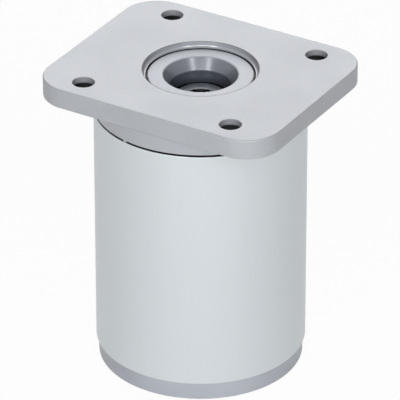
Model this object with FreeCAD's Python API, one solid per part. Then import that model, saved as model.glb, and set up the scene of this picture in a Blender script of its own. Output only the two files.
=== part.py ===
import FreeCAD, Part
import math
import os

# Adjustable cabinet leg, in millimetres. The origin is on the floor under the leg's axis, +Z is up,
# and the plate's long side lies along X. The leg stands at its lowest height.

# Main sizes
overall_height = 60.4
adjustment_travel = 15.0
tube_diameter = 40.0
tube_wall = 1.5
tube_edge_break = 0.15

# Mounting plate
plate_end_overhang = 4.8
plate_side_overhang = 0.55
plate_thickness = 3.95
plate_corner_radius = 7.0
plate_edge_radius = 0.25
screw_hole_diameter = 4.2
screw_hole_gap = 0.174
well_depth = 1.7
collar_height = 3.45
hub_wall = 1.9
hub_chamfer = 0.8
journal_length = 5.0
gusset_count = 6
gusset_thickness = 1.6
gusset_drop = 6.0
gusset_end_height = 0.5
gusset_end_gap = 0.6

# Gap between the collar and the tube, and the small pips that keep it even
rim_gap = 0.4
pip_count = 3
pip_width = 0.5
pip_first_angle = 256.6
pip_clearance = 0.03

# Key guide ring
ring_diameter = 19.9
ring_gap = 0.85
ring_set_back = 1.15
ring_edge_radius = 0.2
ring_shank_diameter = 17.2
ring_shank_length = 4.3
funnel_mouth_diameter = 14.1
funnel_throat_diameter = 11.5
funnel_depth = 2.25

# Guide sleeve
sleeve_wall = 2.4
sleeve_neck_wall = 1.35
sleeve_neck_height = 2.8
sleeve_foot_clearance = 3.0
key_count = 3
key_first_angle = 90.0
keyway_depth = 1.2
key_width = 2.8

# Spindle
thread_diameter = 10.0
socket_across_flats = 5.0
socket_depth = 4.0
socket_lead_in = 0.1
socket_angle = 30.0
spindle_set_back = 5.6
spindle_end_chamfer = 0.3
spindle_tip_chamfer = 1.2
spindle_overrun = 1.0
flange_diameter = 17.0
flange_thickness = 2.0
groove_depth = 0.25

# Washers and retaining clip
thrust_washer_diameter = 16.4
thrust_washer_thickness = 1.0
retaining_washer_diameter = 16.0
retaining_washer_thickness = 0.8
washer_chamfer = 0.15
clip_thickness = 1.0
clip_width = 1.9
clip_eccentricity = 0.35
clip_mouth_angle = 34.0
clip_lug_radius = 1.45
clip_eye_radius = 0.75
clip_headroom = 0.8

# Nut and its retainer
nut_across_flats = 17.0
nut_height = 8.0
nut_face_set_back = 0.25
nut_corner_angle = 30.0
nut_bore_chamfer = 0.5
retainer_diameter = 20.8
retainer_thickness = 1.5
retainer_bore_gap = 1.0
tower_headroom = 1.5

# Foot plug and glide pad
foot_diameter = 39.0
foot_band_height = 3.65
foot_edge_radius = 0.25
plug_depth = 13.0
plug_wall = 1.5
plug_lead_in = 0.5
crush_rib_count = 12
crush_rib_width = 1.0
crush_rib_height = 0.09
tower_wall = 1.6
pocket_floor = 2.0
boss_wall = 2.2
bore_end_gap = 2.0
low_rib_height = 10.0
low_rib_thickness = 1.6
pad_diameter = 34.0
pad_thickness = 1.2
pad_proud = 0.2
pad_edge_radius = 0.2
pad_groove_count = 3
pad_groove_width = 1.0
pad_groove_depth = 0.3
pad_groove_first_radius = 6.0
pad_groove_step = 3.6

# Clearances, on the radius unless named otherwise
press_clearance = 0.03
running_clearance = 0.05
slide_clearance = 0.2
key_side_clearance = 0.2
loose_clearance = 0.2
axial_play = 0.05

# How far joined solids run into each other, and cutting ones past the faces they cut
overlap = 0.5

# How far the lowest and highest point of an edge may be from a height that it is looked up by
level_tolerance = 1e-6

# Radii that follow from the sizes above
tube_outer = tube_diameter / 2
tube_inner = tube_outer - tube_wall
sleeve_outer = tube_inner - slide_clearance
sleeve_inner = sleeve_outer - sleeve_wall
neck_outer = sleeve_inner + sleeve_neck_wall
collar_inner = neck_outer + press_clearance
keyway_radius = sleeve_inner + keyway_depth
fin_radius = keyway_radius - slide_clearance
spindle_radius = thread_diameter / 2
journal_bore = spindle_radius + running_clearance
washer_bore = spindle_radius + loose_clearance
ring_outer = ring_diameter / 2
well_radius = ring_outer + ring_gap
shank_radius = ring_shank_diameter / 2
hub_bore = shank_radius + press_clearance
hub_outer = hub_bore + hub_wall
groove_radius = spindle_radius - groove_depth
clip_bore = groove_radius + press_clearance
retainer_radius = retainer_diameter / 2
retainer_seat = retainer_radius + press_clearance
tower_outer = retainer_seat + tower_wall
boss_bore = spindle_radius + 2 * loose_clearance
boss_outer = boss_bore + boss_wall
plug_outer = tube_inner - press_clearance - crush_rib_height
plug_inner = plug_outer - plug_wall
pad_radius = pad_diameter / 2

# Half the plate's length and width, and how far each screw hole is from its middle lines
plate_end = tube_outer + plate_end_overhang
plate_side = tube_outer + plate_side_overhang
screw_place = (tube_outer + screw_hole_gap + screw_hole_diameter / 2) / math.sqrt(2)

# Heights in the plate, from the top down
plate_top = overall_height
plate_under = plate_top - plate_thickness
collar_low = plate_under - collar_height
tube_top = collar_low - rim_gap
well_floor = plate_top - well_depth
ring_top = plate_top - ring_set_back
ring_low = well_floor - ring_shank_length
clip_top = ring_low - clip_headroom
clip_low = clip_top - clip_thickness
shoulder = clip_low - axial_play - retaining_washer_thickness
hub_low = shoulder - journal_length
flange_top = hub_low - axial_play - thrust_washer_thickness
flange_low = flange_top - flange_thickness
spindle_top = plate_top - spindle_set_back

# Heights in the foot, from the bottom up, and where the two halves meet
foot_low = pad_proud
band_top = foot_low + foot_band_height
recess_top = pad_thickness
plug_top = band_top + plug_depth
sleeve_low = plug_top + sleeve_foot_clearance
tower_top = flange_low - tower_headroom
nut_top = tower_top - retainer_thickness
nut_low = nut_top - nut_height
spindle_low = nut_low - adjustment_travel - spindle_overrun
bore_floor = spindle_low - bore_end_gap

centre = FreeCAD.Vector(0, 0, 0)
up = FreeCAD.Vector(0, 0, 1)


def turned(profile):
    """A solid of revolution about Z from (radius, height) corners."""
    points = [FreeCAD.Vector(radius, 0, height) for radius, height in profile]
    return Part.Face(Part.makePolygon(points + points[:1])).revolve(centre, up, 360)


def disc(radius, low, high):
    return Part.makeCylinder(radius, high - low, FreeCAD.Vector(0, 0, low), up)


def ring(outer, inner, low, high):
    return disc(outer, low, high).cut(disc(inner, low, high))


def radial_bar(inner, outer, width, low, high, angle):
    """A straight bar that runs outwards at an angle."""
    bar = Part.makeBox(outer - inner, width, high - low, FreeCAD.Vector(inner, -width / 2, low))
    bar.rotate(centre, up, angle)
    return bar


def spread(count, first_angle=0.0):
    return [first_angle + 360 / count * place for place in range(count)]


def hexagon(across_flats, low, high):
    corner = across_flats / math.sqrt(3)
    points = [FreeCAD.Vector(corner * math.cos(math.radians(a)), corner * math.sin(math.radians(a)), low)
              for a in spread(6)]
    return Part.Face(Part.makePolygon(points + points[:1])).extrude(FreeCAD.Vector(0, 0, high - low))


def edges_at(shape, height):
    """The edges that lie flat at one height."""
    return [edge for edge in shape.Edges
            if abs(edge.BoundBox.ZMin - height) < level_tolerance
            and abs(edge.BoundBox.ZMax - height) < level_tolerance]


def plate_blank():
    blank = Part.makeBox(2 * plate_end, 2 * plate_side, plate_thickness,
                         FreeCAD.Vector(-plate_end, -plate_side, plate_under))
    uprights = [edge for edge in blank.Edges if edge.BoundBox.ZLength > plate_thickness / 2]
    blank = blank.makeFillet(plate_corner_radius, uprights)
    return blank.makeFillet(plate_edge_radius, edges_at(blank, plate_top) + edges_at(blank, plate_under))


def gusset(angle):
    """A triangular web between the hub and the plate's underside."""
    reach = sleeve_inner - gusset_end_gap
    inner = hub_outer - overlap
    corners = [(inner, plate_under + overlap), (reach, plate_under + overlap),
               (reach, plate_under - gusset_end_height), (inner, plate_under - gusset_drop)]
    points = [FreeCAD.Vector(radius, -gusset_thickness / 2, height) for radius, height in corners]
    face = Part.Face(Part.makePolygon(points + points[:1]))
    web = face.extrude(FreeCAD.Vector(0, gusset_thickness, 0))
    web.rotate(centre, up, angle)
    return web


def pip(angle):
    """A small stop under the collar that the tube's rim meets first."""
    height = rim_gap - pip_clearance
    low = collar_low - height
    bar = radial_bar(sleeve_outer, tube_outer + overlap, pip_width, low, collar_low + overlap, angle)
    return bar.common(disc(tube_outer, low, collar_low + overlap))


def mounting_plate():
    plate = plate_blank()
    collar = disc(tube_outer, collar_low, plate_under + overlap)
    plate = plate.fuse(collar.cut(disc(collar_inner, collar_low, plate_under)))
    hub = turned([(0, plate_under + overlap), (hub_outer, plate_under + overlap),
                  (hub_outer, hub_low + hub_chamfer), (hub_outer - hub_chamfer, hub_low), (0, hub_low)])
    plate = plate.fuse([hub] + [gusset(angle) for angle in spread(gusset_count)])
    plate = plate.fuse([pip(angle) for angle in spread(pip_count, pip_first_angle)])
    plate = plate.cut(disc(well_radius, well_floor, plate_top))
    plate = plate.cut(disc(hub_bore, shoulder, well_floor))
    plate = plate.cut(disc(journal_bore, hub_low, shoulder))
    for x in (-screw_place, screw_place):
        for y in (-screw_place, screw_place):
            plate = plate.cut(Part.makeCylinder(screw_hole_diameter / 2, plate_thickness,
                                                FreeCAD.Vector(x, y, plate_under), up))
    return plate.removeSplitter()


def key_guide_ring():
    mouth = funnel_mouth_diameter / 2
    throat = funnel_throat_diameter / 2
    body = turned([(mouth, ring_top), (ring_outer, ring_top), (ring_outer, well_floor),
                   (shank_radius, well_floor), (shank_radius, ring_low), (throat, ring_low),
                   (throat, ring_top - funnel_depth)])
    rim = [edge for edge in edges_at(body, ring_top) if edge.Curve.Radius > mouth + ring_edge_radius]
    return body.makeFillet(ring_edge_radius, rim)


def guide_sleeve():
    neck_top = collar_low + sleeve_neck_height
    sleeve = turned([(sleeve_inner, sleeve_low), (sleeve_outer - plug_lead_in, sleeve_low),
                     (sleeve_outer, sleeve_low + plug_lead_in), (sleeve_outer, collar_low),
                     (neck_outer, collar_low), (neck_outer, neck_top), (sleeve_inner, neck_top)])
    slot_width = key_width + 2 * key_side_clearance
    slot_top = tower_top + slot_width
    for angle in spread(key_count, key_first_angle):
        slot = radial_bar(sleeve_inner / 2, keyway_radius + overlap, slot_width, sleeve_low, slot_top, angle)
        sleeve = sleeve.cut(slot.common(disc(keyway_radius, sleeve_low, slot_top)))
    return sleeve


def adjusting_spindle():
    flange = flange_diameter / 2
    tip = spindle_radius - spindle_tip_chamfer
    groove_low = clip_low - axial_play
    groove_top = clip_top + axial_play
    body = turned([(0, spindle_top), (spindle_radius - spindle_end_chamfer, spindle_top),
                   (spindle_radius, spindle_top - spindle_end_chamfer), (spindle_radius, groove_top),
                   (groove_radius, groove_top), (groove_radius, groove_low), (spindle_radius, groove_low),
                   (spindle_radius, flange_top), (flange, flange_top), (flange, flange_low),
                   (spindle_radius, flange_low), (spindle_radius, spindle_low + spindle_tip_chamfer),
                   (tip, spindle_low), (0, spindle_low)])
    mouth = socket_across_flats / math.sqrt(3) + socket_lead_in
    lead_in = turned([(0, spindle_top), (mouth, spindle_top), (0, spindle_top - mouth)])
    socket = hexagon(socket_across_flats, spindle_top - socket_depth, spindle_top)
    socket.rotate(centre, up, socket_angle)
    return body.cut(socket).cut(lead_in)


def washer(outer, thickness, low):
    body = ring(outer, washer_bore, low, low + thickness)
    rims = [edge for edge in edges_at(body, low) + edges_at(body, low + thickness)
            if edge.Curve.Radius > washer_bore + washer_chamfer]
    return body.makeChamfer(washer_chamfer, rims)


def retaining_clip():
    """An open ring with two eyed lugs beside its mouth."""
    outer = groove_radius + clip_width
    shifted = FreeCAD.Vector(clip_eccentricity, 0, clip_low)
    body = Part.makeCylinder(outer - clip_eccentricity, clip_thickness, shifted, up)
    lug_path = groove_radius + clip_lug_radius
    lug_angle = clip_mouth_angle / 2 + math.degrees(clip_lug_radius / lug_path)
    eyes = []
    for angle in (180 - lug_angle, 180 + lug_angle):
        place = FreeCAD.Vector(lug_path * math.cos(math.radians(angle)),
                               lug_path * math.sin(math.radians(angle)), clip_low)
        body = body.fuse(Part.makeCylinder(clip_lug_radius, clip_thickness, place, up))
        eyes.append(Part.makeCylinder(clip_eye_radius, clip_thickness, place, up))
    body = body.cut([disc(clip_bore, clip_low, clip_top)] + eyes)
    far = 2 * outer
    half = math.radians(clip_mouth_angle / 2)
    wedge_points = [FreeCAD.Vector(0, 0, clip_low),
                    FreeCAD.Vector(-far * math.cos(half), far * math.sin(half), clip_low),
                    FreeCAD.Vector(-far * math.cos(half), -far * math.sin(half), clip_low)]
    wedge = Part.Face(Part.makePolygon(wedge_points + wedge_points[:1]))
    return body.cut(wedge.extrude(FreeCAD.Vector(0, 0, clip_thickness))).removeSplitter()


def outer_tube():
    tube = ring(tube_outer, tube_inner, band_top, tube_top)
    return tube.makeChamfer(tube_edge_break, edges_at(tube, band_top) + edges_at(tube, tube_top))


def foot_plug():
    """The moulded foot: a band under the tube, a plug inside it and a ribbed tower that holds the nut."""
    foot = disc(foot_diameter / 2, foot_low, band_top)
    foot = foot.makeFillet(foot_edge_radius, edges_at(foot, foot_low))
    root = band_top - overlap
    wall = turned([(plug_inner, root), (plug_outer, root), (plug_outer, plug_top - plug_lead_in),
                   (plug_outer - plug_lead_in, plug_top), (plug_inner, plug_top)])
    boss = disc(boss_outer, root, nut_low)
    cup_floor = nut_low - pocket_floor
    cup = turned([(0, cup_floor - tower_wall), (boss_outer, cup_floor - tower_wall),
                  (tower_outer, cup_floor + tower_wall), (tower_outer, tower_top), (0, tower_top)])
    fins = [radial_bar(boss_outer - overlap, fin_radius, key_width, root, tower_top, angle)
            for angle in spread(key_count, key_first_angle)]
    low_ribs = [radial_bar(boss_outer - overlap, plug_inner + overlap, low_rib_thickness, root,
                           band_top + low_rib_height, angle)
                for angle in spread(key_count, key_first_angle + 180 / key_count)]
    crush_ribs = [radial_bar(plug_inner + overlap, plug_outer + crush_rib_height, crush_rib_width,
                             root, plug_top - 2 * plug_lead_in, angle)
                  for angle in spread(crush_rib_count)]
    foot = foot.fuse([wall, boss, cup] + fins + low_ribs + crush_ribs)
    foot = foot.cut(disc(boss_bore, bore_floor, tower_top))
    foot = foot.cut(hexagon(nut_across_flats + 2 * press_clearance, nut_low, tower_top))
    foot = foot.cut(disc(retainer_seat, nut_top, tower_top))
    foot = foot.cut(disc(pad_radius + loose_clearance, foot_low, recess_top))
    return foot.removeSplitter()


def spindle_nut():
    """A hexagon nut with its corners turned off and a chamfer at each end of its bore."""
    blank = hexagon(nut_across_flats, nut_low, nut_top)
    corner = nut_across_flats / math.sqrt(3)
    flat = nut_across_flats / 2 - nut_face_set_back
    drop = (corner - flat) * math.tan(math.radians(nut_corner_angle))
    turning = turned([(0, nut_low), (flat, nut_low), (corner, nut_low + drop), (corner, nut_top - drop),
                      (flat, nut_top), (0, nut_top)])
    mouth = journal_bore + nut_bore_chamfer
    bore = turned([(0, nut_low), (mouth, nut_low), (journal_bore, nut_low + nut_bore_chamfer),
                   (journal_bore, nut_top - nut_bore_chamfer), (mouth, nut_top), (0, nut_top)])
    return blank.common(turning).cut(bore)


def nut_retainer():
    return ring(retainer_radius, spindle_radius + retainer_bore_gap, nut_top, tower_top)


def glide_pad():
    """A soft disc with round grooves in the face that meets the floor."""
    pad = disc(pad_radius, 0, pad_thickness)
    pad = pad.makeFillet(pad_edge_radius, edges_at(pad, 0))
    for place in range(pad_groove_count):
        inner = pad_groove_first_radius + place * pad_groove_step
        pad = pad.cut(ring(inner + pad_groove_width, inner, 0, pad_groove_depth))
    return pad


pieces = {
    "mounting_plate": mounting_plate(),
    "key_guide_ring": key_guide_ring(),
    "guide_sleeve": guide_sleeve(),
    "adjusting_spindle": adjusting_spindle(),
    "retaining_clip": retaining_clip(),
    "retaining_washer": washer(retaining_washer_diameter / 2, retaining_washer_thickness, shoulder),
    "thrust_washer": washer(thrust_washer_diameter / 2, thrust_washer_thickness, flange_top),
    "outer_tube": outer_tube(),
    "foot_plug": foot_plug(),
    "spindle_nut": spindle_nut(),
    "nut_retainer": nut_retainer(),
    "glide_pad": glide_pad(),
}

os.makedirs("parts", exist_ok=True)
for node, shape in pieces.items():
    state = "valid" if shape.isValid() else "NOT VALID"
    print(node, state, len(shape.Solids), "solid", round(shape.Volume, 1))
    shape.exportStep("parts/" + node + ".step")
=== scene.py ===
import bpy
import bmesh
import math
from mathutils import Matrix, Vector


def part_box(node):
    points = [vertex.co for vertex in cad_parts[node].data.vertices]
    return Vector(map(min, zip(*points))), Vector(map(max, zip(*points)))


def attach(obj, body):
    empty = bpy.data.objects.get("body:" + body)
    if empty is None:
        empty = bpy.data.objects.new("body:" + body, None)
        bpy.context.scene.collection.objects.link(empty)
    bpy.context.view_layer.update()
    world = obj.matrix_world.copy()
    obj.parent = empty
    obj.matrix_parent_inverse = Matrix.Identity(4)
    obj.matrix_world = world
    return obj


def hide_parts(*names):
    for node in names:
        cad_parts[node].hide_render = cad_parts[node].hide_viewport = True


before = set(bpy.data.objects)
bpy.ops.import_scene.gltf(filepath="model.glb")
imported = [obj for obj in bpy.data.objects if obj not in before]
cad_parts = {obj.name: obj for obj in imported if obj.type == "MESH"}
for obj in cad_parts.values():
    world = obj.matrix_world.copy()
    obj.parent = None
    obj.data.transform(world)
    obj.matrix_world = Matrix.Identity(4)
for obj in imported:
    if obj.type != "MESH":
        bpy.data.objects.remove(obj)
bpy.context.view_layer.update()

mm = 0.001
bite = 0.5             # how far a joined solid runs into the one that carries it, in millimetres
deepBite = 1.0         # the same where the wall is curved, and how far a cutter runs past what it cuts
fineEdge = 0.1         # rounding of an edge that has no radius of its own
edgeShare = 0.45       # a rounding takes at most this share of the shorter side beside it
mergeDistance = 1e-5   # points nearer than this are one
sharpAngle = 32        # edges that turn by more degrees stay crisp
roundSegments = 192    # sides of a large round form
midSegments = 144      # of a middling one
smallSegments = 96     # and of a small one
holeSegments = 64
zoneFade = 0.08        # width in which a patch of another tone fades out

# Heights and radii that several pieces share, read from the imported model, in millimetres


def nodeSpan(node):
    low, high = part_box(node)
    return {"radius": high.x / mm, "side": high.y / mm, "low": low.z / mm, "high": high.z / mm}


plateSpan = nodeSpan("mounting_plate")
ringSpan = nodeSpan("key_guide_ring")
sleeveSpan = nodeSpan("guide_sleeve")
spindleSpan = nodeSpan("adjusting_spindle")
tubeSpan = nodeSpan("outer_tube")
footSpan = nodeSpan("foot_plug")
nutSpan = nodeSpan("spindle_nut")
retainerSpan = nodeSpan("nut_retainer")
padSpan = nodeSpan("glide_pad")
print("frame loaded:", len(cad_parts), "nodes")


# Colours and nodes


def hexColour(text):
    channels = [int(text[place:place + 2], 16) / 255 for place in (1, 3, 5)]
    linear = [c / 12.92 if c <= 0.04045 else ((c + 0.055) / 1.055) ** 2.4 for c in channels]
    return (*linear, 1.0)


def addNode(tree, kind, settings=None, inputs=None):
    node = tree.nodes.new(kind)
    for key, value in (settings or {}).items():
        setattr(node, key, value)
    for socket, value in (inputs or {}).items():
        if isinstance(value, bpy.types.NodeSocket):
            tree.links.new(value, node.inputs[socket])
        else:
            node.inputs[socket].default_value = value
    return node


def startMaterial(name):
    material = bpy.data.materials.new(name)
    material.use_nodes = True
    tree = material.node_tree
    tree.nodes.clear()
    place = addNode(tree, "ShaderNodeTexCoord").outputs["Object"]
    return material, tree, place


def endMaterial(tree, shader):
    addNode(tree, "ShaderNodeOutputMaterial", inputs={"Surface": shader.outputs[0]})


# Finishes


def depthShare(tree, place, spot, radius, start, end):
    # One within a radius of the spot and beyond a level, nought elsewhere; the spot counts in all four quarters
    side = addNode(tree, "ShaderNodeVectorMath", {"operation": "ABSOLUTE"}, {0: place}).outputs["Vector"]
    away = addNode(tree, "ShaderNodeVectorMath", {"operation": "SUBTRACT"},
                   {0: side, 1: (spot * mm, spot * mm, 0)}).outputs["Vector"]
    flat = addNode(tree, "ShaderNodeVectorMath", {"operation": "MULTIPLY"},
                   {0: away, 1: (1, 1, 0)}).outputs["Vector"]
    reach = addNode(tree, "ShaderNodeVectorMath", {"operation": "LENGTH"}, {0: flat}).outputs["Value"]
    inside = addNode(tree, "ShaderNodeMapRange", inputs={
        "Value": reach, "From Min": radius * mm, "From Max": (radius + zoneFade) * mm,
        "To Min": 1.0, "To Max": 0.0})
    height = addNode(tree, "ShaderNodeSeparateXYZ", inputs={"Vector": place}).outputs["Z"]
    deep = addNode(tree, "ShaderNodeMapRange", inputs={
        "Value": height, "From Min": end * mm, "From Max": start * mm, "To Min": 1.0, "To Max": 0.0})
    return addNode(tree, "ShaderNodeMath", {"operation": "MULTIPLY"},
                   {0: inside.outputs["Result"], 1: deep.outputs["Result"]}).outputs["Value"]


def addZones(tree, place, colour, roughness, zones):
    # Round patches with a tone and smoothness of their own; a later one covers those before it
    for zone in zones:
        share = depthShare(tree, place, zone["spot"], zone["radius"], zone["start"], zone["end"])
        tint = addNode(tree, "ShaderNodeMix", {"data_type": "RGBA"})
        tree.links.new(share, tint.inputs["Factor"])
        tree.links.new(colour, tint.inputs[6])
        tint.inputs[7].default_value = hexColour(zone["colour"])
        sheen = addNode(tree, "ShaderNodeMix", {"data_type": "FLOAT"},
                        {"Factor": share, "A": roughness, "B": zone["roughness"]})
        colour, roughness = tint.outputs[2], sheen.outputs["Result"]
    return colour, roughness


def makeCastPaint(name, colours, zones):
    # Zinc die-casting under a silver-grey coat: an even, soft sheen with a faint orange-peel skin
    material, tree, place = startMaterial(name)
    cloud = addNode(tree, "ShaderNodeTexNoise", inputs={"Vector": place, "Scale": 1 / (9 * mm), "Detail": 3.0})
    flake = addNode(tree, "ShaderNodeTexNoise", inputs={"Vector": place, "Scale": 1 / (0.25 * mm), "Detail": 2.0})
    mixed = addNode(tree, "ShaderNodeMix", {"data_type": "FLOAT"},
                    {"Factor": 0.45, "A": cloud.outputs["Fac"], "B": flake.outputs["Fac"]})
    ramp = addNode(tree, "ShaderNodeValToRGB", inputs={"Fac": mixed.outputs["Result"]})
    ramp.color_ramp.elements[0].position = 0.35
    ramp.color_ramp.elements[0].color = hexColour(colours[0])
    ramp.color_ramp.elements[1].position = 0.65
    ramp.color_ramp.elements[1].color = hexColour(colours[1])
    peel = addNode(tree, "ShaderNodeTexNoise", inputs={"Vector": place, "Scale": 1 / (0.9 * mm), "Detail": 2.0})
    bump = addNode(tree, "ShaderNodeBump", inputs={"Strength": 0.06, "Distance": 0.05 * mm,
                                                   "Height": peel.outputs["Fac"]})
    rough = addNode(tree, "ShaderNodeMapRange", inputs={"Value": cloud.outputs["Fac"], "From Min": 0.3,
                                                        "From Max": 0.7, "To Min": 0.42, "To Max": 0.5})
    colour, roughness = addZones(tree, place, ramp.outputs["Color"], rough.outputs["Result"], zones)
    shader = addNode(tree, "ShaderNodeBsdfPrincipled", inputs={
        "Base Color": colour, "Metallic": 0.25, "Roughness": roughness, "Normal": bump.outputs["Normal"]})
    endMaterial(tree, shader)
    return material


def makeAnodisedTube(zones):
    # Drawn aluminium, matt-etched and clear anodised: a broad soft highlight with hardly visible drawing lines
    material, tree, place = startMaterial("clear_anodised_aluminium")
    along = addNode(tree, "ShaderNodeMapping", inputs={"Vector": place, "Scale": (1.0, 1.0, 0.02)})
    lines = addNode(tree, "ShaderNodeTexNoise", inputs={"Vector": along.outputs["Vector"],
                                                        "Scale": 1 / (0.15 * mm), "Detail": 2.0})
    etch = addNode(tree, "ShaderNodeTexNoise", inputs={"Vector": place, "Scale": 1 / (0.22 * mm), "Detail": 2.0})
    ramp = addNode(tree, "ShaderNodeValToRGB", inputs={"Fac": lines.outputs["Fac"]})
    ramp.color_ramp.elements[0].position = 0.3
    ramp.color_ramp.elements[0].color = hexColour("#D1D7DA")
    ramp.color_ramp.elements[1].position = 0.7
    ramp.color_ramp.elements[1].color = hexColour("#D3D9DC")
    rough = addNode(tree, "ShaderNodeMapRange", inputs={"Value": etch.outputs["Fac"], "From Min": 0.3,
                                                        "From Max": 0.7, "To Min": 0.33, "To Max": 0.41})
    bump = addNode(tree, "ShaderNodeBump", inputs={"Strength": 0.05, "Distance": 0.02 * mm,
                                                   "Height": etch.outputs["Fac"]})
    colour, roughness = addZones(tree, place, ramp.outputs["Color"], rough.outputs["Result"], zones)
    shader = addNode(tree, "ShaderNodeBsdfPrincipled", inputs={
        "Base Color": colour, "Metallic": 0.35, "Roughness": roughness, "Normal": bump.outputs["Normal"]})
    endMaterial(tree, shader)
    return material


def makeMouldedPlastic(name, dark, light, roughness):
    # Injection-moulded plastic: an even colour with the fine grain of a spark-eroded mould
    material, tree, place = startMaterial(name)
    grain = addNode(tree, "ShaderNodeTexNoise", inputs={"Vector": place, "Scale": 1 / (0.3 * mm), "Detail": 3.0})
    flow = addNode(tree, "ShaderNodeTexNoise", inputs={"Vector": place, "Scale": 1 / (12 * mm), "Detail": 2.0})
    tone = addNode(tree, "ShaderNodeMix", {"data_type": "FLOAT"},
                   {"Factor": 0.4, "A": flow.outputs["Fac"], "B": grain.outputs["Fac"]})
    ramp = addNode(tree, "ShaderNodeValToRGB", inputs={"Fac": tone.outputs["Result"]})
    ramp.color_ramp.elements[0].position = 0.35
    ramp.color_ramp.elements[0].color = hexColour(dark)
    ramp.color_ramp.elements[1].position = 0.65
    ramp.color_ramp.elements[1].color = hexColour(light)
    bump = addNode(tree, "ShaderNodeBump", inputs={"Strength": 0.12, "Distance": 0.03 * mm,
                                                   "Height": grain.outputs["Fac"]})
    shader = addNode(tree, "ShaderNodeBsdfPrincipled", inputs={
        "Base Color": ramp.outputs["Color"], "Roughness": roughness, "IOR": 1.49,
        "Normal": bump.outputs["Normal"]})
    endMaterial(tree, shader)
    return material


def makeTurnedSteel(name, dark, light, roughness, ringWidth, zones=()):
    # Machined and plated steel: round tool marks about the axis that catch the light in fine rings
    material, tree, place = startMaterial(name)
    axes = addNode(tree, "ShaderNodeSeparateXYZ", inputs={"Vector": place})
    flat = addNode(tree, "ShaderNodeCombineXYZ", inputs={"X": axes.outputs["X"], "Y": axes.outputs["Y"]})
    reach = addNode(tree, "ShaderNodeVectorMath", {"operation": "LENGTH"}, {0: flat.outputs["Vector"]})
    rings = addNode(tree, "ShaderNodeCombineXYZ", inputs={"X": reach.outputs["Value"], "Z": axes.outputs["Z"]})
    marks = addNode(tree, "ShaderNodeTexNoise", inputs={"Vector": rings.outputs["Vector"],
                                                        "Scale": 1 / (ringWidth * mm), "Detail": 2.0})
    ramp = addNode(tree, "ShaderNodeValToRGB", inputs={"Fac": marks.outputs["Fac"]})
    ramp.color_ramp.elements[0].position = 0.3
    ramp.color_ramp.elements[0].color = hexColour(dark)
    ramp.color_ramp.elements[1].position = 0.7
    ramp.color_ramp.elements[1].color = hexColour(light)
    bump = addNode(tree, "ShaderNodeBump", inputs={"Strength": 0.2, "Distance": 0.03 * mm,
                                                   "Height": marks.outputs["Fac"]})
    colour, roughness = addZones(tree, place, ramp.outputs["Color"], roughness, zones)
    shader = addNode(tree, "ShaderNodeBsdfPrincipled", inputs={
        "Base Color": colour, "Metallic": 1.0, "Roughness": roughness, "Normal": bump.outputs["Normal"]})
    endMaterial(tree, shader)
    return material


def makePadRubber():
    # Soft moulded rubber: matt and near black, with a faint dusty bloom
    material, tree, place = startMaterial("soft_moulded_rubber")
    bloom = addNode(tree, "ShaderNodeTexNoise", inputs={"Vector": place, "Scale": 1 / (5 * mm), "Detail": 5.0})
    ramp = addNode(tree, "ShaderNodeValToRGB", inputs={"Fac": bloom.outputs["Fac"]})
    ramp.color_ramp.elements[0].position = 0.35
    ramp.color_ramp.elements[0].color = hexColour("#27282A")
    ramp.color_ramp.elements[1].position = 0.7
    ramp.color_ramp.elements[1].color = hexColour("#3A3B3D")
    grain = addNode(tree, "ShaderNodeTexNoise", inputs={"Vector": place, "Scale": 1 / (0.4 * mm), "Detail": 2.0})
    bump = addNode(tree, "ShaderNodeBump", inputs={"Strength": 0.3, "Distance": 0.04 * mm,
                                                   "Height": grain.outputs["Fac"]})
    shader = addNode(tree, "ShaderNodeBsdfPrincipled", inputs={
        "Base Color": ramp.outputs["Color"], "Roughness": 0.85, "IOR": 1.52, "Normal": bump.outputs["Normal"]})
    endMaterial(tree, shader)
    return material


# Finishes that several pieces share or that are the same all over; the others stand beside their pieces
finishes = {
    "foot": makeMouldedPlastic("grey_moulded_abs", "#ACB0B8", "#B6BAC2", 0.4),
    "sleeve": makeMouldedPlastic("black_moulded_acetal", "#0E0F11", "#17181A", 0.45),
    "steel": makeTurnedSteel("zinc_plated_turned_steel", "#A7A9AB", "#C2C3C3", 0.32, 0.35),
    "spring": makeTurnedSteel("phosphated_spring_steel", "#3A3A3B", "#4E4D4B", 0.45, 0.5),
    "rubber": makePadRubber(),
}
print("shared finishes made:", len(finishes))


# Turned forms: a piece is a row of loops about the axis, each with a radius and a height in millimetres


def hexRadius(acrossFlats, firstCorner=0):
    # Distance from the axis to a hexagon's side; the first corner's angle is in degrees
    def radius(angle):
        return acrossFlats / 2 / math.cos((angle - math.radians(firstCorner) + 1e-9) % (math.pi / 3) - math.pi / 6)
    return radius


def addLoop(bm, radius, height, segments):
    if radius == 0:
        return [bm.verts.new((0, 0, height))]
    loop = []
    for place in range(segments):
        angle = 2 * math.pi * place / segments
        reach = radius(angle) if callable(radius) else radius
        level = height(angle) if callable(height) else height
        loop.append(bm.verts.new((reach * math.cos(angle), reach * math.sin(angle), level)))
    return loop


def bridge(bm, first, second):
    count = max(len(first), len(second))
    for place in range(count):
        after = (place + 1) % count
        if len(first) == 1:
            bm.faces.new((first[0], second[after], second[place]))
        elif len(second) == 1:
            bm.faces.new((first[place], first[after], second[0]))
        else:
            bm.faces.new((first[place], first[after], second[after], second[place]))


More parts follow.
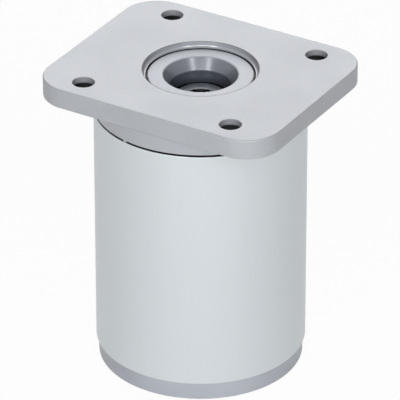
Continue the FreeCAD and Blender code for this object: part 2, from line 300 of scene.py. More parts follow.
def soften(corners, edge, closed=True, steps=4):
    # Rounds each corner of a profile; a corner with a third value has its own radius
    rounded = []
    count = len(corners)
    for place, corner in enumerate(corners):
        own = corner[2] if len(corner) > 2 else edge
        here = Vector(corner[:2]) if not callable(corner[0]) and not callable(corner[1]) else None
        atEnd = not closed and place in (0, count - 1)
        if own == 0 or here is None or atEnd or corner[0] == 0:
            rounded.append(corner[:2])
            continue
        before = Vector(corners[place - 1][:2]) - here
        after = Vector(corners[(place + 1) % count][:2]) - here
        half = before.angle(after) / 2
        own = min(own, edgeShare * min(before.length, after.length) * math.tan(half))
        cut = own / math.tan(half)
        middle = here + (before.normalized() + after.normalized()).normalized() * (own / math.sin(half))
        start = here + before.normalized() * cut - middle
        turn = start.angle_signed(here + after.normalized() * cut - middle)
        for step in range(steps + 1):
            spoke = start.copy()
            spoke.rotate(Matrix.Rotation(-turn * step / steps, 2))
            rounded.append(tuple(middle + spoke))
    return rounded


def turnPiece(corners, edge=fineEdge, segments=roundSegments, closed=True):
    bm = bmesh.new()
    loops = [addLoop(bm, radius, height, segments) for radius, height in soften(corners, edge, closed)]
    for first, second in zip(loops, loops[1:]):
        bridge(bm, first, second)
    if closed:
        bridge(bm, loops[-1], loops[0])
    return bm


def toObject(name, bm):
    bmesh.ops.remove_doubles(bm, verts=bm.verts, dist=mergeDistance)
    bmesh.ops.recalc_face_normals(bm, faces=bm.faces)
    bmesh.ops.scale(bm, vec=(mm, mm, mm), verts=bm.verts)
    mesh = bpy.data.meshes.new(name)
    bm.to_mesh(mesh)
    bm.free()
    piece = bpy.data.objects.new(name, mesh)
    bpy.context.scene.collection.objects.link(piece)
    return piece


def settle(piece):
    # Turns the modifiers' result into the object's own plain mesh
    bpy.context.view_layer.update()
    graph = bpy.context.evaluated_depsgraph_get()
    mesh = bpy.data.meshes.new_from_object(piece.evaluated_get(graph))
    piece.modifiers.clear()
    piece.data = mesh
    return piece


def combine(piece, tool, operation):
    # Adds or cuts a second solid, which is then thrown away
    change = piece.modifiers.new("combine", "BOOLEAN")
    change.operation = operation
    change.solver = "EXACT"
    change.use_self = True
    change.object = tool
    settle(piece)
    bpy.data.objects.remove(tool)
    return piece


def finishPiece(piece, finish, body, node):
    piece.data.materials.clear()
    piece.data.materials.append(finishes[finish])
    for face in piece.data.polygons:
        face.use_smooth = True
        face.material_index = 0
    piece.data.set_sharp_from_angle(angle=math.radians(sharpAngle))
    shading = piece.modifiers.new("even_shading", "WEIGHTED_NORMAL")
    shading.keep_sharp = True
    shading.weight = 100
    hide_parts(node)
    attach(piece, body)
    print("made", piece.name, len(piece.data.polygons), "faces")
    return piece


# Geometry Nodes: copies in a ring about the axis


def setInput(modifier, name, value):
    for item in modifier.node_group.interface.items_tree:
        if item.item_type == "SOCKET" and item.in_out == "INPUT" and item.name == name:
            modifier[item.identifier] = value


def makeRingTree():
    tree = bpy.data.node_groups.new("copies_in_a_ring", "GeometryNodeTree")
    tree.interface.new_socket("Geometry", in_out="INPUT", socket_type="NodeSocketGeometry")
    tree.interface.new_socket("Count", in_out="INPUT", socket_type="NodeSocketInt")
    tree.interface.new_socket("First Angle", in_out="INPUT", socket_type="NodeSocketFloat")
    tree.interface.new_socket("Material", in_out="INPUT", socket_type="NodeSocketMaterial")
    tree.interface.new_socket("Geometry", in_out="OUTPUT", socket_type="NodeSocketGeometry")
    given = addNode(tree, "NodeGroupInput")
    points = addNode(tree, "GeometryNodePoints", inputs={"Count": given.outputs["Count"]})
    index = addNode(tree, "GeometryNodeInputIndex")
    share = addNode(tree, "ShaderNodeMath", {"operation": "DIVIDE"},
                    {0: index.outputs["Index"], 1: given.outputs["Count"]})
    angle = addNode(tree, "ShaderNodeMath", {"operation": "MULTIPLY_ADD"},
                    {0: share.outputs["Value"], 1: 2 * math.pi, 2: given.outputs["First Angle"]})
    turn = addNode(tree, "ShaderNodeCombineXYZ", inputs={"Z": angle.outputs["Value"]})
    copies = addNode(tree, "GeometryNodeInstanceOnPoints", inputs={
        "Points": points.outputs["Points"], "Instance": given.outputs["Geometry"],
        "Rotation": turn.outputs["Vector"]})
    real = addNode(tree, "GeometryNodeRealizeInstances", inputs={"Geometry": copies.outputs["Instances"]})
    painted = addNode(tree, "GeometryNodeSetMaterial", inputs={
        "Geometry": real.outputs["Geometry"], "Material": given.outputs["Material"]})
    addNode(tree, "NodeGroupOutput", inputs={"Geometry": painted.outputs["Geometry"]})
    return tree


ringTree = makeRingTree()


def copiesInRing(name, bm, count, firstAngle, finish):
    piece = toObject(name, bm)
    nodes = piece.modifiers.new("copies", "NODES")
    nodes.node_group = ringTree
    setInput(nodes, "Count", count)
    setInput(nodes, "First Angle", math.radians(firstAngle))
    setInput(nodes, "Material", finishes[finish])
    return settle(piece)


def prism(corners, width):
    # A flat web in the XZ plane, with its thickness along Y
    bm = bmesh.new()
    front = [bm.verts.new((reach, -width / 2, height)) for reach, height in corners]
    back = [bm.verts.new((reach, width / 2, height)) for reach, height in corners]
    bm.faces.new(front)
    bm.faces.new(back)
    bridge(bm, front, back)
    return bm


def bar(inner, outer, low, high, width):
    return prism([(inner, low), (outer, low), (outer, high), (inner, high)], width)


# Mounting plate

plate = {
    "thickness": 3.95, "cornerRadius": 7.0, "cornerSteps": 24, "edgeRadius": 0.25, "edgeSteps": 4,
    "screwSpacing": 31.5, "holeRadius": 2.1, "holeEdge": 0.04,
    "wellRadius": 10.8, "wellDepth": 1.7, "wellEdge": 0.06, "ledgeDepth": 1.15, "wellFillet": 0.5, "filletSteps": 8,
    "collarHeight": 3.45, "collarBore": 17.28, "hubBore": 8.63, "hubRadius": 10.53, "hubChamfer": 0.8,
    "journalBore": 5.05, "journalLength": 5.0,
    "gussets": 6, "gussetWidth": 1.6, "gussetReach": 15.3, "gussetDrop": 6.0, "gussetEnd": 0.5,
    "pips": 3, "pipWidth": 0.5, "pipAngle": 256.6, "pipInner": 18.3, "pipSetBack": 0.02, "pipDrop": 0.37,
}
plate["under"] = plateSpan["high"] - plate["thickness"]
plate["collarLow"] = plate["under"] - plate["collarHeight"]
plate["shoulder"] = plateSpan["low"] + plate["journalLength"]
plate["ledgeRadius"] = plate["wellRadius"] - plate["wellFillet"]
plate["ledge"] = plateSpan["high"] - plate["ledgeDepth"]
plate["screwPlace"] = plate["screwSpacing"] / 2

plateZones = {
    # A fine dark line is painted round the well's rim as painted shade
    "well rim shade": {"spot": 0, "radius": plate["wellRadius"] + 0.14, "start": plateSpan["high"] + 0.05,
                 "end": plateSpan["high"] + 0.01, "colour": "#3C3E43", "roughness": 0.45},
    # Painted shade darkens the crease under the plate, and the turned collar below is smoother
    "crease": {"spot": 0, "radius": tubeSpan["radius"] + 0.4, "start": plate["under"] + 0.05,
               "end": plate["under"] - 0.01, "colour": "#94979E", "roughness": 0.4},
    "collar": {"spot": 0, "radius": tubeSpan["radius"] + 0.4, "start": plate["under"] - 0.15,
               "end": plate["under"] - 0.4, "colour": "#B1B4BA", "roughness": 0.28},
    # The well's turned wall is smooth, and the narrow gap round the guide ring is painted dark as shade
    "well wall": {"spot": 0, "radius": plate["wellRadius"] + 0.02, "start": plateSpan["high"] - 0.02,
                  "end": plateSpan["high"] - 0.08, "colour": "#A9ACB2", "roughness": 0.17},
    "ring gap shade": {"spot": 0, "radius": plate["ledgeRadius"] + 0.01, "start": plate["ledge"] - 0.02,
                 "end": plate["ledge"] - 0.07, "colour": "#2E3136", "roughness": 0.5},
    # The screw holes are smooth too, and deeper down they are painted near black as shade
    "hole mouth": {"spot": plate["screwPlace"], "radius": plate["holeRadius"] + 0.05,
                   "start": plateSpan["high"] - 0.05, "end": plateSpan["high"] - 0.15,
                   "colour": "#B2B4BA", "roughness": 0.3},
    "hole depth shade": {"spot": plate["screwPlace"], "radius": plate["holeRadius"] + 0.05,
                   "start": plateSpan["high"] - 1.05, "end": plateSpan["high"] - 1.3,
                   "colour": "#16171A", "roughness": 0.5},
}
finishes["plate"] = makeCastPaint("silver_coated_zinc_casting", ("#ADB0B5", "#B7BABF"), plateZones.values())


def plateOutline(bm, inset, height):
    radius = plate["cornerRadius"] - inset
    loop = []
    for quarter, (sideX, sideY) in enumerate(((1, 1), (-1, 1), (-1, -1), (1, -1))):
        middleX = sideX * (plateSpan["radius"] - plate["cornerRadius"])
        middleY = sideY * (plateSpan["side"] - plate["cornerRadius"])
        for step in range(plate["cornerSteps"] + 1):
            angle = math.pi / 2 * (quarter + step / plate["cornerSteps"])
            loop.append(bm.verts.new((middleX + radius * math.cos(angle), middleY + radius * math.sin(angle),
                                      height)))
    return loop


def holeLoop(bm, centre, radius, height):
    loop = addLoop(bm, radius, height, holeSegments)
    bmesh.ops.translate(bm, vec=(*centre, 0), verts=loop)
    return loop


def loopEdges(bm, loop):
    return [bm.edges.get((loop[place - 1], loop[place])) for place in range(len(loop))]


def makePlate():
    bm = bmesh.new()
    top, under, edge = plateSpan["high"], plate["under"], plate["edgeRadius"]
    levels = []
    for step in range(plate["edgeSteps"] + 1):
        angle = math.pi / 2 * step / plate["edgeSteps"]
        levels.append((edge * (1 - math.sin(angle)), edge * (1 - math.cos(angle))))
    side = [plateOutline(bm, inset, top - drop) for inset, drop in levels]
    side += [plateOutline(bm, inset, under + drop) for inset, drop in reversed(levels)]
    for first, second in zip(side, side[1:]):
        bridge(bm, first, second)

    # From the well's rim down its wall and rounded ledge, through the hub and up the outside of the collar
    rim, fillet, collar = plate["wellRadius"], plate["wellFillet"], tubeSpan["radius"]
    wellFloor = top - plate["wellDepth"]
    inside = [(rim + plate["wellEdge"], top), (rim, top - plate["wellEdge"])]
    for step in range(plate["filletSteps"] + 1):
        angle = math.pi / 2 * step / plate["filletSteps"]
        inside.append((rim - fillet * (1 - math.cos(angle)), plate["ledge"] + fillet * (1 - math.sin(angle)), 0))
    inside += [(plate["ledgeRadius"], wellFloor), (plate["hubBore"], wellFloor),
               (plate["hubBore"], plate["shoulder"]), (plate["journalBore"], plate["shoulder"]),
               (plate["journalBore"], plateSpan["low"]),
               (plate["hubRadius"] - plate["hubChamfer"], plateSpan["low"]),
               (plate["hubRadius"], plateSpan["low"] + plate["hubChamfer"]), (plate["hubRadius"], under),
               (plate["collarBore"], under), (plate["collarBore"], plate["collarLow"]),
               (collar, plate["collarLow"]), (collar, under)]
    loops = [addLoop(bm, radius, height, roundSegments) for radius, height in soften(inside, fineEdge, closed=False)]
    for first, second in zip(loops, loops[1:]):
        bridge(bm, first, second)

    topEdges = loopEdges(bm, side[0]) + loopEdges(bm, loops[0])
    underEdges = loopEdges(bm, side[-1]) + loopEdges(bm, loops[-1])
    radius, bevel, away = plate["holeRadius"], plate["holeEdge"], plate["screwPlace"]
    for centre in ((-away, -away), (away, -away), (away, away), (-away, away)):
        hole = [holeLoop(bm, centre, radius + bevel, top), holeLoop(bm, centre, radius, top - bevel),
                holeLoop(bm, centre, radius, under + bevel), holeLoop(bm, centre, radius + bevel, under)]
        for first, second in zip(hole, hole[1:]):
            bridge(bm, first, second)
        topEdges += loopEdges(bm, hole[0])
        underEdges += loopEdges(bm, hole[-1])
    bmesh.ops.triangle_fill(bm, use_beauty=True, edges=topEdges, normal=(0, 0, 1))
    bmesh.ops.triangle_fill(bm, use_beauty=True, edges=underEdges, normal=(0, 0, -1))
    piece = toObject("plate_casting", bm)

    root = plate["hubRadius"] - deepBite
    web = prism([(root, under + bite), (plate["gussetReach"], under + bite),
                 (plate["gussetReach"], under - plate["gussetEnd"]), (root, under - plate["gussetDrop"])],
                plate["gussetWidth"])
    combine(piece, copiesInRing("gussets", web, plate["gussets"], 0, "plate"), "UNION")
    pip = bar(plate["pipInner"], collar - plate["pipSetBack"], plate["collarLow"] - plate["pipDrop"],
              plate["collarLow"] + bite, plate["pipWidth"])
    combine(piece, copiesInRing("pips", pip, plate["pips"], plate["pipAngle"], "plate"), "UNION")
    return finishPiece(piece, "plate", "plate", "mounting_plate")


makePlate()


# Key guide ring, pressed in the plate's well

ring = {"shankRadius": 8.6, "shankLength": 4.3, "mouthRadius": 7.05, "mouthEdge": 0.4, "throatRadius": 5.75,
        "throatEdge": 0.04, "funnelDepth": 2.25, "rimRadius": 0.2}

ringZones = {
    # The funnel is turned smooth, so it is darker and catches small highlights
    "funnel": {"spot": 0, "radius": ring["mouthRadius"] - 0.05, "start": ringSpan["high"] - 0.05,
               "end": ringSpan["high"] - 0.2, "colour": "#81858E", "roughness": 0.26},
    # The bore is painted darker, as painted shade deep in it
    "bore": {"spot": 0, "radius": ring["throatRadius"] + 0.01, "start": ringSpan["high"] - ring["funnelDepth"] + 0.05,
             "end": ringSpan["high"] - ring["funnelDepth"] - 0.35, "colour": "#5E636D", "roughness": 0.3},
}
finishes["ring"] = makeCastPaint("silver_coated_zinc_ring", ("#B1B4BB", "#BBBEC5"), ringZones.values())


def makeRing():
    top, low, outer = ringSpan["high"], ringSpan["low"], ringSpan["radius"]
    floor = low + ring["shankLength"]
    corners = [(ring["mouthRadius"], top, ring["mouthEdge"]), (outer, top, ring["rimRadius"]), (outer, floor),
               (ring["shankRadius"], floor), (ring["shankRadius"], low), (ring["throatRadius"], low),
               (ring["throatRadius"], top - ring["funnelDepth"], ring["throatEdge"])]
    return finishPiece(toObject("guide_ring", turnPiece(corners)), "ring", "plate", "key_guide_ring")


makeRing()


# Guide sleeve, which hangs from the collar inside the tube

sleeve = {"wall": 2.4, "neckRadius": 17.25, "neckHeight": 2.8, "leadIn": 0.5,
          "keys": 3, "keyAngle": 90.0, "keywayWidth": 3.2, "keywayDepth": 1.2, "keywayHeadroom": 3.2,
          "cutterReach": 3.0}


def makeSleeve():
    outer, low, high = sleeveSpan["radius"], sleeveSpan["low"], sleeveSpan["high"]
    inner = outer - sleeve["wall"]
    shoulder = high - sleeve["neckHeight"]
    corners = [(inner, low), (outer - sleeve["leadIn"], low, 0), (outer, low + sleeve["leadIn"], 0),
               (outer, shoulder), (sleeve["neckRadius"], shoulder), (sleeve["neckRadius"], high), (inner, high)]
    piece = toObject("sliding_sleeve", turnPiece(corners, segments=midSegments))
    slot = bar(inner - sleeve["cutterReach"], inner + sleeve["keywayDepth"], low - deepBite,
               footSpan["high"] + sleeve["keywayHeadroom"], sleeve["keywayWidth"])
    cutters = copiesInRing("keyways", slot, sleeve["keys"], sleeve["keyAngle"], "sleeve")
    combine(piece, cutters, "DIFFERENCE")
    return finishPiece(piece, "sleeve", "plate", "guide_sleeve")


makeSleeve()


# Spindle: a turned head with a hex socket, and a threaded rod whose form follows the thread's rule

spindle = {"journalRadius": 5.0, "endChamfer": 0.3,
           "socket": 5.0, "socketCorner": 30, "socketDepth": 4.0, "socketCone": 1.0, "socketLeadIn": 0.1,
           "grooveRadius": 4.75, "grooveWidth": 1.1, "grooveEdge": 0.04, "clipPlay": 0.05,
           "flangeThickness": 2.0, "flangeEdge": 0.3, "flangeRoot": 0.2,
           "pitch": 1.5, "rootRadius": 4.1, "rootFlat": 0.25, "crestFlat": 0.125, "runout": 1.2, "tipChamfer": 1.2,
           "rodBite": 0.3, "rowsPerTurn": 16, "threadSegments": 72}
spindle["flangeTop"] = nodeSpan("thrust_washer")["low"]
spindle["grooveTop"] = nodeSpan("retaining_clip")["high"] + spindle["clipPlay"]

# The hex socket is painted near black inside, as painted shade deep in it
finishes["spindle"] = makeTurnedSteel("dull_turned_screw_steel", "#7C8085", "#9CA0A4", 0.38, 0.3, [
    {"spot": 0, "radius": spindle["socket"] / math.sqrt(3) + 0.063, "start": spindleSpan["high"] - 0.1,
     "end": spindleSpan["high"] - 0.25, "colour": "#26272A", "roughness": 0.5}])


def makeThreadTree():
    # A cylinder whose radius rises and falls along a right-hand helix; the flats at root and crest are shares of
    # the pitch
    tree = bpy.data.node_groups.new("threaded_rod", "GeometryNodeTree")
    for name, kind in (("Low", "NodeSocketFloat"), ("High", "NodeSocketFloat"), ("Pitch", "NodeSocketFloat"),
                       ("Root", "NodeSocketFloat"), ("Crest", "NodeSocketFloat"), ("Tip", "NodeSocketFloat"),
                       ("Rows", "NodeSocketInt"), ("Segments", "NodeSocketInt"),
                       ("Material", "NodeSocketMaterial")):
        tree.interface.new_socket(name, in_out="INPUT", socket_type=kind)
    tree.interface.new_socket("Geometry", in_out="OUTPUT", socket_type="NodeSocketGeometry")
    given = addNode(tree, "NodeGroupInput").outputs

    def maths(operation, first, second=0.0, third=0.0):
        return addNode(tree, "ShaderNodeMath", {"operation": operation},
                       {0: first, 1: second, 2: third}).outputs["Value"]

    depth = maths("SUBTRACT", given["High"], given["Low"])
    rod = addNode(tree, "GeometryNodeMeshCylinder", {"fill_type": "NGON"},
                  {"Vertices": given["Segments"], "Side Segments": given["Rows"], "Radius": 1.0, "Depth": depth})
    middle = maths("MULTIPLY", maths("ADD", given["High"], given["Low"]), 0.5)
    place = addNode(tree, "GeometryNodeInputPosition").outputs["Position"]
    axes = addNode(tree, "ShaderNodeSeparateXYZ", inputs={"Vector": place}).outputs
    height = maths("ADD", axes["Z"], middle)
    angle = maths("ARCTAN2", axes["Y"], axes["X"])
    phase = maths("FRACT", maths("SUBTRACT", maths("DIVIDE", height, given["Pitch"]),
                                 maths("DIVIDE", angle, 2 * math.pi)))
    wave = maths("SUBTRACT", 1.0, maths("ABSOLUTE", maths("MULTIPLY_ADD", phase, 2.0, -1.0)))
    flank = addNode(tree, "ShaderNodeMapRange", inputs={
        "Value": wave, "From Min": spindle["rootFlat"], "From Max": 1 - spindle["crestFlat"],
        "To Min": given["Root"], "To Max": given["Crest"]}).outputs["Result"]
    bevel = maths("ADD", given["Tip"], maths("SUBTRACT", height, given["Low"]))
    lastTurn = maths("SUBTRACT", given["High"], spindle["runout"] * mm)
    runout = maths("ADD", given["Root"], maths("MAXIMUM", maths("SUBTRACT", lastTurn, height), 0.0))
    reach = maths("MINIMUM", maths("MINIMUM", flank, bevel), runout)
    spot = addNode(tree, "ShaderNodeCombineXYZ", inputs={
        "X": maths("MULTIPLY", maths("COSINE", angle), reach),
        "Y": maths("MULTIPLY", maths("SINE", angle), reach), "Z": height}).outputs["Vector"]
    moved = addNode(tree, "GeometryNodeSetPosition", inputs={"Geometry": rod.outputs["Mesh"], "Position": spot})
    real = addNode(tree, "GeometryNodeRealizeInstances", inputs={"Geometry": moved.outputs["Geometry"]})
    painted = addNode(tree, "GeometryNodeSetMaterial", inputs={
        "Geometry": real.outputs["Geometry"], "Material": given["Material"]})
    addNode(tree, "NodeGroupOutput", inputs={"Geometry": painted.outputs["Geometry"]})
    return tree


def makeSpindle():
    top, crest = spindleSpan["high"], spindle["journalRadius"]
    flangeLow = spindle["flangeTop"] - spindle["flangeThickness"]
    hexagon = hexRadius(spindle["socket"], spindle["socketCorner"])
    mouth = spindle["socket"] / math.sqrt(3) + spindle["socketLeadIn"]
    socketFloor = top - spindle["socketDepth"]
    grooveLow = spindle["grooveTop"] - spindle["grooveWidth"]
    grooveEdge, flangeEdge = spindle["grooveEdge"], spindle["flangeEdge"]
    corners = [(0, socketFloor - spindle["socketCone"]), (hexagon, socketFloor),
               (hexagon, lambda angle: top - mouth + hexagon(angle)), (mouth, top, 0),
               (crest - spindle["endChamfer"], top, 0), (crest, top - spindle["endChamfer"], 0),
               (crest, spindle["grooveTop"], grooveEdge), (spindle["grooveRadius"], spindle["grooveTop"], grooveEdge),
               (spindle["grooveRadius"], grooveLow, grooveEdge), (crest, grooveLow, grooveEdge),
               (crest, spindle["flangeTop"], spindle["flangeRoot"]),
               (spindleSpan["radius"], spindle["flangeTop"], flangeEdge),
               (spindleSpan["radius"], flangeLow, flangeEdge), (0, flangeLow)]
    head = toObject("spindle_screw", turnPiece(corners, segments=midSegments, closed=False))
    rod = toObject("thread", bmesh.new())
    nodes = rod.modifiers.new("thread", "NODES")
    nodes.node_group = makeThreadTree()
    low, high = spindleSpan["low"], flangeLow + spindle["rodBite"]
    rows = round((high - low) / spindle["pitch"] * spindle["rowsPerTurn"])
    for name, value in (("Low", low * mm), ("High", high * mm), ("Pitch", spindle["pitch"] * mm),
                        ("Root", spindle["rootRadius"] * mm), ("Crest", crest * mm),
                        ("Tip", (crest - spindle["tipChamfer"]) * mm), ("Rows", rows),
                        ("Segments", spindle["threadSegments"]), ("Material", finishes["spindle"])):
        setInput(nodes, name, value)
    settle(rod)
    whole = bmesh.new()
    whole.from_mesh(head.data)
    whole.from_mesh(rod.data)
    whole.to_mesh(head.data)
    whole.free()
    bpy.data.objects.remove(rod)
    return finishPiece(head, "spindle", "spindle", "adjusting_spindle")


makeSpindle()


# Washers, nut and its retainer

washers = {
    "thrust_washer": {"name": "thrust_ring", "bore": 5.2, "boreEdge": 0.05, "edge": 0.15, "body": "spindle"},
    "retaining_washer": {"name": "hub_ring", "bore": 5.2, "boreEdge": 0.05, "edge": 0.15, "body": "plate"},
}


def makeWasher(node, settings):
    span = nodeSpan(node)
    corners = [(settings["bore"], span["low"]), (span["radius"], span["low"], settings["edge"]),
               (span["radius"], span["high"], settings["edge"]), (settings["bore"], span["high"])]
    piece = toObject(settings["name"], turnPiece(corners, settings["boreEdge"], smallSegments))
    return finishPiece(piece, "steel", settings["body"], node)


for washerNode, washerSettings in washers.items():
    makeWasher(washerNode, washerSettings)

nut = {"acrossFlats": 17.0, "boreRadius": 5.05, "boreChamfer": 0.5, "turnedBack": 0.25, "cornerAngle": 30,
       "retainerBore": 6.0, "retainerEdge": 0.12}


def makeNut():
    outline = hexRadius(nut["acrossFlats"])
    flat = nut["acrossFlats"] / 2 - nut["turnedBack"]
    slope = math.tan(math.radians(nut["cornerAngle"]))
    low, high, bore, bevel = nutSpan["low"], nutSpan["high"], nut["boreRadius"], nut["boreChamfer"]
    corners = [(bore, low + bevel, 0), (bore + bevel, low, 0), (flat, low, 0),
               (outline, lambda angle: low + (outline(angle) - flat) * slope),
               (outline, lambda angle: high - (outline(angle) - flat) * slope),
               (flat, high, 0), (bore + bevel, high, 0), (bore, high - bevel, 0)]
    return finishPiece(toObject("hexagon_nut", turnPiece(corners, segments=midSegments)), "steel", "leg",
                       "spindle_nut")


def makeRetainer():
    bore, outer, low, high = nut["retainerBore"], retainerSpan["radius"], retainerSpan["low"], retainerSpan["high"]
    corners = [(bore, low), (outer, low), (outer, high), (bore, high)]
    disc = turnPiece(corners, nut["retainerEdge"], smallSegments)
    return finishPiece(toObject("nut_disc", disc), "sleeve", "leg", "nut_retainer")


makeNut()
makeRetainer()


# Outer tube

tube = {"wall": 1.5, "edge": 0.15, "segments": 256}

# The tube's top end under the collar is painted dark and dull, as painted shade from the collar
finishes["tube"] = makeAnodisedTube([
    {"spot": 0, "radius": tubeSpan["radius"] - tube["edge"], "start": tubeSpan["high"] - 0.15,
     "end": tubeSpan["high"] - 0.05, "colour": "#2C2E30", "roughness": 0.6}])


def makeTube():
    outer, low, high = tubeSpan["radius"], tubeSpan["low"], tubeSpan["high"]
    inner = outer - tube["wall"]
    corners = [(inner, low), (outer, low), (outer, high), (inner, high)]
    shell = turnPiece(corners, tube["edge"], tube["segments"])
    return finishPiece(toObject("tube_shell", shell), "tube", "leg", "outer_tube")


makeTube()


# Foot: a band under the tube, a plug inside it and a ribbed tower that holds the nut

foot = {"bandHeight": 3.65, "bottomEdge": 0.25, "bandEdge": 0.12, "padRecess": 17.2, "recessTop": 1.2,
        "recessEdge": 0.15, "plugRadius": 18.38, "plugWall": 1.5, "plugDepth": 13.0, "plugEdge": 0.05, "leadIn": 0.5,
        "rootEdge": 0.3, "bossRadius": 7.6, "bossBore": 5.4, "boreGap": 2.0,
        "towerRadius": 12.03, "towerWall": 1.6, "towerEdge": 0.2, "seatRadius": 10.43, "seatEdge": 0.05,
        "pocket": 17.06, "pocketFloor": 2.0,
        "fins": 3, "finAngle": 90.0, "finRadius": 16.9, "finWidth": 2.8, "finDrop": 0.05, "finBoreGap": 0.6,
        "lowRibs": 3, "lowRibAngle": 150.0, "lowRibHeight": 10.0, "lowRibWidth": 1.6,
        "crushRibs": 12, "crushRibHeight": 0.09, "crushRibWidth": 1.0, "crushRibStop": 1.0}
foot["boreFloor"] = spindleSpan["low"] - foot["boreGap"]


def makeFoot():
    low, high, band = footSpan["low"], footSpan["high"], footSpan["low"] + foot["bandHeight"]
    plug, plugTop = foot["plugRadius"], band + foot["plugDepth"]
    cupLow = nutSpan["low"] - foot["pocketFloor"]
    pocket = hexRadius(foot["pocket"])
    inner, boss, tower, edge = plug - foot["plugWall"], foot["bossRadius"], foot["towerRadius"], foot["rootEdge"]
    # From the pad's recess round the band, up the plug and down inside it, then up the tower and down its bore
    corners = [(0, foot["recessTop"]), (foot["padRecess"], foot["recessTop"]),
               (foot["padRecess"], low, foot["recessEdge"]), (footSpan["radius"], low, foot["bottomEdge"]),
               (footSpan["radius"], band, foot["bandEdge"]), (plug, band, foot["plugEdge"]),
               (plug, plugTop - foot["leadIn"], 0), (plug - foot["leadIn"], plugTop, 0),
               (inner, plugTop), (inner, band, edge), (boss, band, edge),
               (boss, cupLow - foot["towerWall"], edge), (tower, cupLow + foot["towerWall"], edge),
               (tower, high, foot["towerEdge"]), (foot["seatRadius"], high, foot["seatEdge"]),
               (foot["seatRadius"], nutSpan["high"], 0), (pocket, nutSpan["high"]), (pocket, nutSpan["low"]),
               (foot["bossBore"], nutSpan["low"], 0), (foot["bossBore"], foot["boreFloor"], 0),
               (0, foot["boreFloor"])]
    piece = toObject("foot_moulding", turnPiece(corners, closed=False))

    # The fins slide in the sleeve's keyways, and stay clear of the nut and its retainer
    fin = bar(boss - deepBite, foot["finRadius"], band - bite, high - foot["finDrop"], foot["finWidth"])
    tool = copiesInRing("fins", fin, foot["fins"], foot["finAngle"], "foot")
    clear, boreLow, boreHigh = foot["seatRadius"] + foot["finBoreGap"], nutSpan["low"] - deepBite, high + deepBite
    bore = turnPiece([(0, boreLow), (clear, boreLow), (clear, boreHigh), (0, boreHigh)], 0, smallSegments,
                     closed=False)
    combine(piece, combine(tool, toObject("fin_bore", bore), "DIFFERENCE"), "UNION")
    rib = bar(boss - deepBite, plug - deepBite, band - bite, band + foot["lowRibHeight"], foot["lowRibWidth"])
    combine(piece, copiesInRing("low_ribs", rib, foot["lowRibs"], foot["lowRibAngle"], "foot"), "UNION")
    crush = bar(plug - deepBite, plug + foot["crushRibHeight"], band - bite, plugTop - foot["crushRibStop"],
                foot["crushRibWidth"])
    combine(piece, copiesInRing("crush_ribs", crush, foot["crushRibs"], 0, "foot"), "UNION")
    return finishPiece(piece, "foot", "leg", "foot_plug")


makeFoot()


# Glide pad, let into the foot's underside

pad = {"edge": 0.2, "topEdge": 0.1, "grooves": 3, "firstGroove": 6.0, "grooveStep": 3.6, "grooveWidth": 1.0,
       "grooveDepth": 0.3, "grooveEdge": 0.08}


def makePad():
    outer, high = padSpan["radius"], padSpan["high"]
    corners = [(0, high), (outer, high, pad["topEdge"]), (outer, 0, pad["edge"])]
    for place in reversed(range(pad["grooves"])):
        inner = pad["firstGroove"] + place * pad["grooveStep"]
        corners += [(inner + pad["grooveWidth"], 0), (inner + pad["grooveWidth"], pad["grooveDepth"]),
                    (inner, pad["grooveDepth"]), (inner, 0)]
    corners.append((0, 0))
    disc = turnPiece(corners, pad["grooveEdge"], closed=False)
    return finishPiece(toObject("pad_disc", disc), "rubber", "leg", "glide_pad")


makePad()

# The clip's form is right as it comes, so it only gets its finish
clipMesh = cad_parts["retaining_clip"].data
clipMesh.materials.clear()
clipMesh.materials.append(finishes["spring"])
print("pieces made")


# Floor, lamps and camera

# A lamp's turn is measured from the camera's side of the leg, in degrees; its place and size are in metres
studio = {"floorSize": 8.0, "floorColour": "#F2F2F2", "shadowShare": 0.04, "worldLight": 0.0, "lampAim": 30.0,
          "lamps": {
              "key_left": {"turn": -15, "rise": 17, "away": 0.8, "wide": 0.45, "tall": 0.36, "power": 1.6},
              "key_right": {"turn": 10, "rise": 15, "away": 0.8, "wide": 0.45, "tall": 0.36, "power": 1.8},
              "strip_left": {"turn": -28, "rise": 34, "away": 0.8, "wide": 0.12, "tall": 0.45, "power": 1.15},
              "strip_right": {"turn": 28, "rise": 34, "away": 0.8, "wide": 0.12, "tall": 0.45, "power": 1.1},
              "back_high": {"turn": 180, "rise": 40, "away": 0.8, "wide": 0.5, "tall": 0.4, "power": 1.6},
              "back_low": {"turn": 180, "rise": 12, "away": 0.8, "wide": 0.5, "tall": 0.3, "power": 1.5}}}

camera = {"lens": 407.2, "sensor": 36.0, "distance": 853.27, "azimuth": 31.036, "elevation": 29.654, "roll": -0.03,
          "lookHeight": 32.31, "shift": -0.0018, "clipStart": 0.05, "clipEnd": 20.0}


def direction(azimuth, elevation):
    # Direction from the object to a viewer or lamp
    a, e = math.radians(azimuth), math.radians(elevation)
    return Vector((math.sin(a) * math.cos(e), -math.cos(a) * math.cos(e), math.sin(e)))


def makeCamera():
    back = direction(camera["azimuth"], camera["elevation"])
    right = Vector((0, 0, 1)).cross(back).normalized()
    turn = Matrix.Rotation(math.radians(camera["roll"]), 3, back)
    right = turn @ right
    above = back.cross(right)
    look = Vector((0, 0, camera["lookHeight"] * mm))
    lens = bpy.data.cameras.new("camera")
    lens.lens = camera["lens"]
    lens.sensor_width = camera["sensor"]
    lens.shift_x = camera["shift"]
    lens.clip_start, lens.clip_end = camera["clipStart"], camera["clipEnd"]
    viewer = bpy.data.objects.new("camera", lens)
    bpy.context.scene.collection.objects.link(viewer)
    viewer.matrix_world = Matrix.Translation(look + back * camera["distance"] * mm) @ Matrix(
        (right, above, back)).transposed().to_4x4()
    bpy.context.scene.camera = viewer


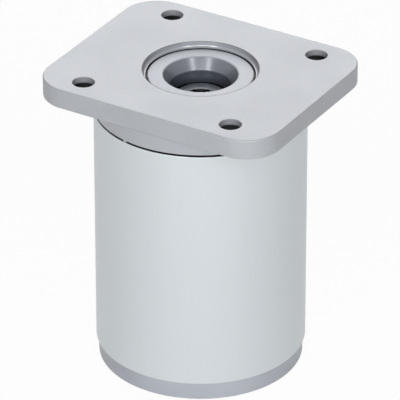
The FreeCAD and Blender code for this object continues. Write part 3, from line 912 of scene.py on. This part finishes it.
def whiteForView(tree, shader, strength):
    # Camera, glossy and transmission rays meet white; the rest meets the shader itself
    path = addNode(tree, "ShaderNodeLightPath").outputs
    either = addNode(tree, "ShaderNodeMath", {"operation": "MAXIMUM"},
                     {0: path["Is Camera Ray"], 1: path["Is Glossy Ray"]}).outputs["Value"]
    seen = addNode(tree, "ShaderNodeMath", {"operation": "MAXIMUM"},
                   {0: either, 1: path["Is Transmission Ray"]}).outputs["Value"]
    share = addNode(tree, "ShaderNodeMath", {"operation": "MULTIPLY"}, {0: seen, 1: strength}).outputs["Value"]
    white = addNode(tree, "ShaderNodeEmission", inputs={"Color": (1, 1, 1, 1), "Strength": 1.0})
    return addNode(tree, "ShaderNodeMixShader", inputs={0: share, 1: shader.outputs[0], 2: white.outputs[0]})


def makeStudio():
    bm = bmesh.new()
    bmesh.ops.create_grid(bm, x_segments=1, y_segments=1, size=studio["floorSize"] / 2 / mm)
    floor = toObject("floor", bm)
    material, tree, place = startMaterial("pale_paper_floor")
    grain = addNode(tree, "ShaderNodeTexNoise", inputs={"Vector": place, "Scale": 1 / (2 * mm), "Detail": 2.0})
    bump = addNode(tree, "ShaderNodeBump", inputs={"Strength": 0.02, "Distance": 0.02 * mm,
                                                   "Height": grain.outputs["Fac"]})
    paper = addNode(tree, "ShaderNodeBsdfDiffuse", inputs={"Color": hexColour(studio["floorColour"]),
                                                          "Normal": bump.outputs["Normal"]})
    endMaterial(tree, whiteForView(tree, paper, 1 - studio["shadowShare"]))
    floor.data.materials.append(material)

    world = bpy.data.worlds.new("studio")
    bpy.context.scene.world = world
    world.use_nodes = True
    tree = world.node_tree
    tree.nodes.clear()
    path = addNode(tree, "ShaderNodeLightPath").outputs
    seen = addNode(tree, "ShaderNodeMath", {"operation": "MAXIMUM"},
                   {0: path["Is Camera Ray"], 1: path["Is Glossy Ray"]}).outputs["Value"]
    level = addNode(tree, "ShaderNodeMapRange", inputs={"Value": seen, "To Min": studio["worldLight"],
                                                        "To Max": 1.0}).outputs["Result"]
    sky = addNode(tree, "ShaderNodeBackground", inputs={"Color": (1, 1, 1, 1), "Strength": level})
    addNode(tree, "ShaderNodeOutputWorld", inputs={"Surface": sky.outputs[0]})

    middle = Vector((0, 0, studio["lampAim"] * mm))
    for name, lamp in studio["lamps"].items():
        light = bpy.data.lights.new(name, "AREA")
        light.shape = "RECTANGLE"
        light.size, light.size_y = lamp["wide"], lamp["tall"]
        light.energy = lamp["power"]
        holder = bpy.data.objects.new(name, light)
        bpy.context.scene.collection.objects.link(holder)
        away = direction(camera["azimuth"] + lamp["turn"], lamp["rise"])
        holder.location = middle + away * lamp["away"]
        holder.rotation_mode = "QUATERNION"
        holder.rotation_quaternion = away.to_track_quat("Z", "Y")


makeCamera()
makeStudio()
bpy.context.scene.view_settings.view_transform = "Standard"
print("studio made")
